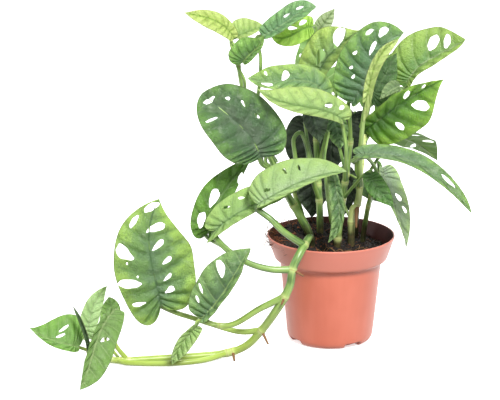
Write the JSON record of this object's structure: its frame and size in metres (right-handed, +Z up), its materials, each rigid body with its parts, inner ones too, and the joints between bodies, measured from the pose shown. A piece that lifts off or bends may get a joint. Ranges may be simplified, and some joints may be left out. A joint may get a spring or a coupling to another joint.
{
  "type": "potted trailing swiss-cheese vine",
  "caption": "Monstera adansonii vine with holed leaves in a round tapered plastic nursery pot, one long stem trailing over the rim down to the table",
  "frame": {"origin": "middle of the pot's flat underside, on the table", "axes": "+Z up; the picture's viewer looks along +Y; the trailing vine runs towards -X"},
  "size_m": [0.4033, 0.2707, 0.3263],
  "materials": {
    "leaf": "living leaf, satin, mid to deep green with paler margins",
    "young_leaf": "young living leaf, satin, pale yellow green",
    "stem": "living vine and leaf stalks, smooth, yellow green",
    "pot": "thin moulded plastic, terracotta orange, satin",
    "soil": "damp dark peat and coir potting soil, rough"
  },
  "bodies": {
    "root": {"leaf_left_large": "leaf", "leaf_left_rear": "leaf", "leaf_left_mid": "leaf", "leaf_centre_low": "leaf", "leaf_centre_lower": "leaf", "leaf_trail_upright": "leaf", "leaf_trail_narrow": "leaf", "leaf_young_left": "young_leaf", "leaf_young_right": "young_leaf", "leaf_dark_small": "leaf", "leaf_top_left": "leaf", "leaf_top_behind": "leaf", "leaf_top_pale": "young_leaf", "leaf_top_middle": "leaf", "leaf_mid_left": "leaf", "leaf_mid_pale": "leaf", "leaf_right_top": "leaf", "leaf_right_mid": "leaf", "leaf_right_long": "leaf", "leaf_right_green": "leaf", "leaf_right_grey": "leaf", "leaf_right_under": "leaf", "leaf_centre_hang": "leaf", "leaf_top_right": "leaf", "leaf_young_sheath": "young_leaf", "leaf_right_behind": "leaf", "leaf_small_curl": "leaf", "leaf_centre_grey": "leaf", "leaf_centre_cup": "leaf", "leaf_end_front": "leaf", "leaf_end_left": "leaf", "leaf_end_spear": "leaf", "leaf_end_up": "leaf", "leaf_end_rear": "leaf", "leaf_back_high": "leaf", "leaf_back_left": "leaf", "leaf_back_right": "leaf", "leaf_back_low": "leaf", "leaf_back_upright": "leaf", "leaf_inner_left": "leaf", "leaf_inner_middle": "leaf", "leaf_inner_right": "leaf", "leaf_inner_low": "leaf", "leaf_inner_lower_right": "leaf", "vine_trailing": "stem", "vine_left": "stem", "vine_middle": "stem", "vine_front": "stem", "vine_right": "stem", "vine_far_right": "stem", "vine_back": "stem", "vine_back_side": "stem", "vine_back_right": "stem", "pot": "pot", "soil": "soil"}
  },
  "joints": []
}
